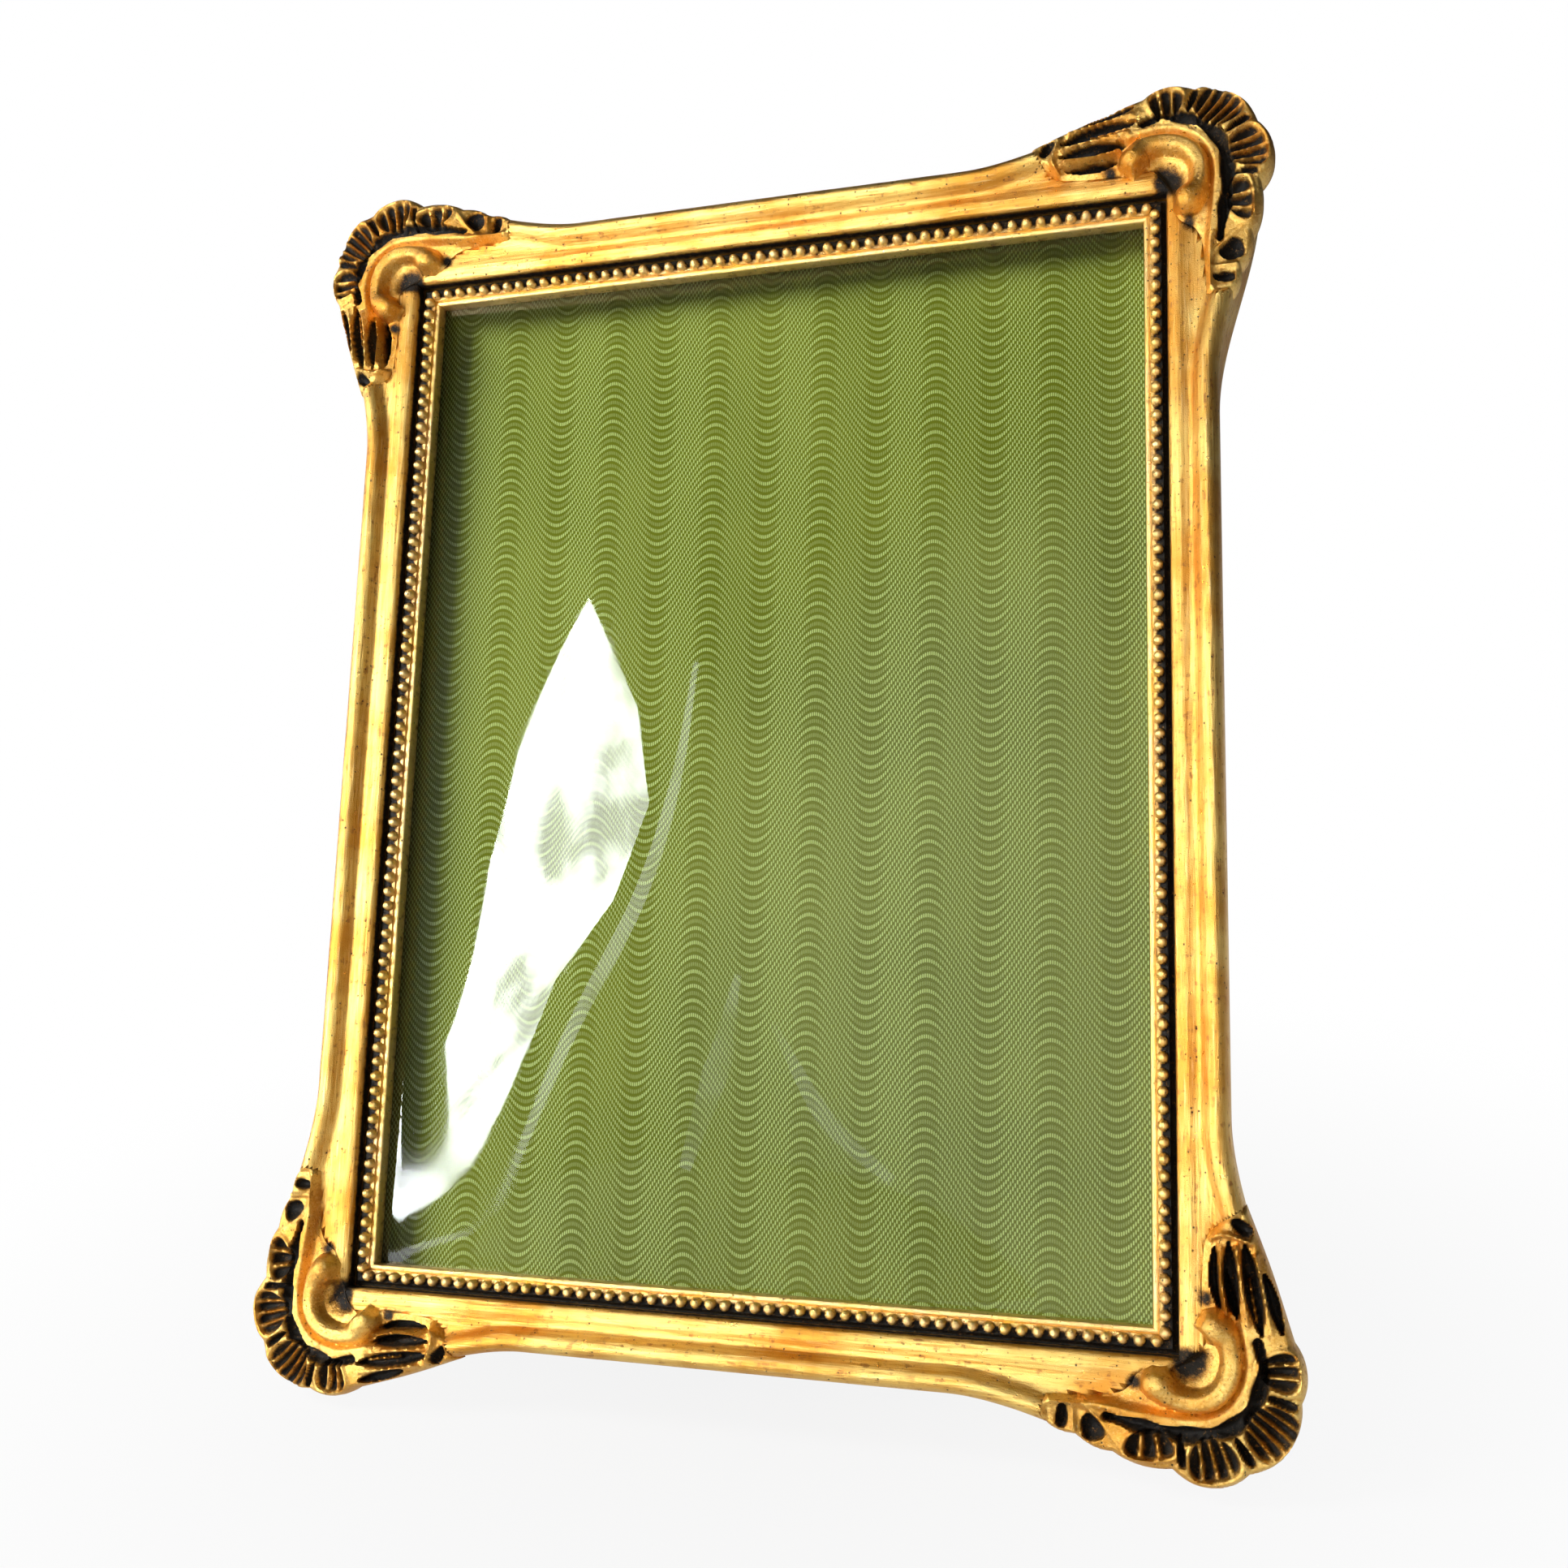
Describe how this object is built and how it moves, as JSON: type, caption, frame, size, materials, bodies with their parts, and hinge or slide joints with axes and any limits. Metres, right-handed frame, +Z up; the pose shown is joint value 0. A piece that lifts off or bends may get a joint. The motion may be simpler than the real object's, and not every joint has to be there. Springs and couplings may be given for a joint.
{
  "type": "easel photograph frame",
  "caption": "Ornate gilt photograph frame with cast shell corners, beaded slip, domed glass, patterned backing sheet, turn-button back and a hinged easel strut.",
  "frame": {"origin": "on the table, under the middle of the standing frame's bounding box", "axes": "+Z up from the table, +X to the right as seen from the front, the glass faces -Y and the strut stands out towards +Y"},
  "size_m": [0.2314, 0.1264, 0.2786],
  "materials": {
    "gilt_rail": "water gilding over bole, rubbed, with dark wax in the hollows",
    "gilt_ornament": "gilded casting with black in the hollows",
    "gilt_slip": "gilded, black between the beads",
    "glass": "clear, polished",
    "green_paper": "matt printed paper with a pale waved line pattern",
    "card": "plain pale card",
    "pad_card": "brown fluted card",
    "board": "brown hardboard, smooth",
    "steel": "drawn steel",
    "strut_board": "brown hardboard, smooth",
    "brass_plate": "stamped brass, dulled",
    "brass_rivet": "brass, dulled",
    "brass_wire": "brass wire, dulled",
    "brass_screw": "brass, slotted head"
  },
  "bodies": {
    "frame": {"rail_top": "gilt_rail", "rail_bottom": "gilt_rail", "rail_left": "gilt_rail", "rail_right": "gilt_rail", "ornament_top_left": "gilt_ornament", "ornament_top_right": "gilt_ornament", "ornament_bottom_left": "gilt_ornament", "ornament_bottom_right": "gilt_ornament", "beaded_slip_top": "gilt_slip", "beaded_slip_bottom": "gilt_slip", "beaded_slip_left": "gilt_slip", "beaded_slip_right": "gilt_slip", "domed_glass": "glass", "patterned_sheet": "green_paper", "mount_card": "card", "filler_pad": "pad_card", "back_board": "board", "v_nails": "steel", "hinge_board_leaf": "brass_plate", "hinge_pin": "steel", "hinge_board_rivets": "brass_rivet", "hanger_strap": "brass_plate", "hanger_screw": "brass_screw", "turn_button_screws": "brass_screw"},
    "strut": {"easel_strut": "strut_board", "hinge_strut_leaf": "brass_plate", "hinge_strut_rivets": "brass_rivet"},
    "ring": {"hanging_ring": "brass_wire"},
    "button_top_left": {"turn_button_top_left": "brass_plate"},
    "button_top_right": {"turn_button_top_right": "brass_plate"},
    "button_left": {"turn_button_left": "brass_plate"},
    "button_right": {"turn_button_right": "brass_plate"},
    "button_bottom_left": {"turn_button_bottom_left": "brass_plate"},
    "button_bottom_right": {"turn_button_bottom_right": "brass_plate"}
  },
  "joints": [
    {"name": "strut_hinge", "type": "hinge", "parent": "frame", "child": "strut", "pos_m": [0, 0.03251, 0.20867], "axis": [1, 0, 0], "range_deg": [-26, 0]},
    {"name": "ring_swing", "type": "hinge", "parent": "frame", "child": "ring", "pos_m": [0, 0.04432, 0.24374], "axis": [1, 0, 0], "range_deg": [0, 160]},
    {"name": "turn_button_top_left_pivot", "type": "hinge", "parent": "frame", "child": "button_top_left", "pos_m": [-0.045, 0.04652, 0.25567], "axis": [0, -0.9455, 0.3256], "range_deg": [-90, 90]},
    {"name": "turn_button_top_right_pivot", "type": "hinge", "parent": "frame", "child": "button_top_right", "pos_m": [0.045, 0.04652, 0.25567], "axis": [0, -0.9455, 0.3256], "range_deg": [-90, 90]},
    {"name": "turn_button_left_pivot", "type": "hinge", "parent": "frame", "child": "button_left", "pos_m": [-0.0988, 0.00453, 0.1337], "axis": [0, -0.9455, 0.3256], "range_deg": [-90, 90]},
    {"name": "turn_button_right_pivot", "type": "hinge", "parent": "frame", "child": "button_right", "pos_m": [0.0988, 0.00453, 0.1337], "axis": [0, -0.9455, 0.3256], "range_deg": [-90, 90]},
    {"name": "turn_button_bottom_left_pivot", "type": "hinge", "parent": "frame", "child": "button_bottom_left", "pos_m": [-0.045, -0.03747, 0.01172], "axis": [0, -0.9455, 0.3256], "range_deg": [-90, 90]},
    {"name": "turn_button_bottom_right_pivot", "type": "hinge", "parent": "frame", "child": "button_bottom_right", "pos_m": [0.045, -0.03747, 0.01172], "axis": [0, -0.9455, 0.3256], "range_deg": [-90, 90]}
  ]
}
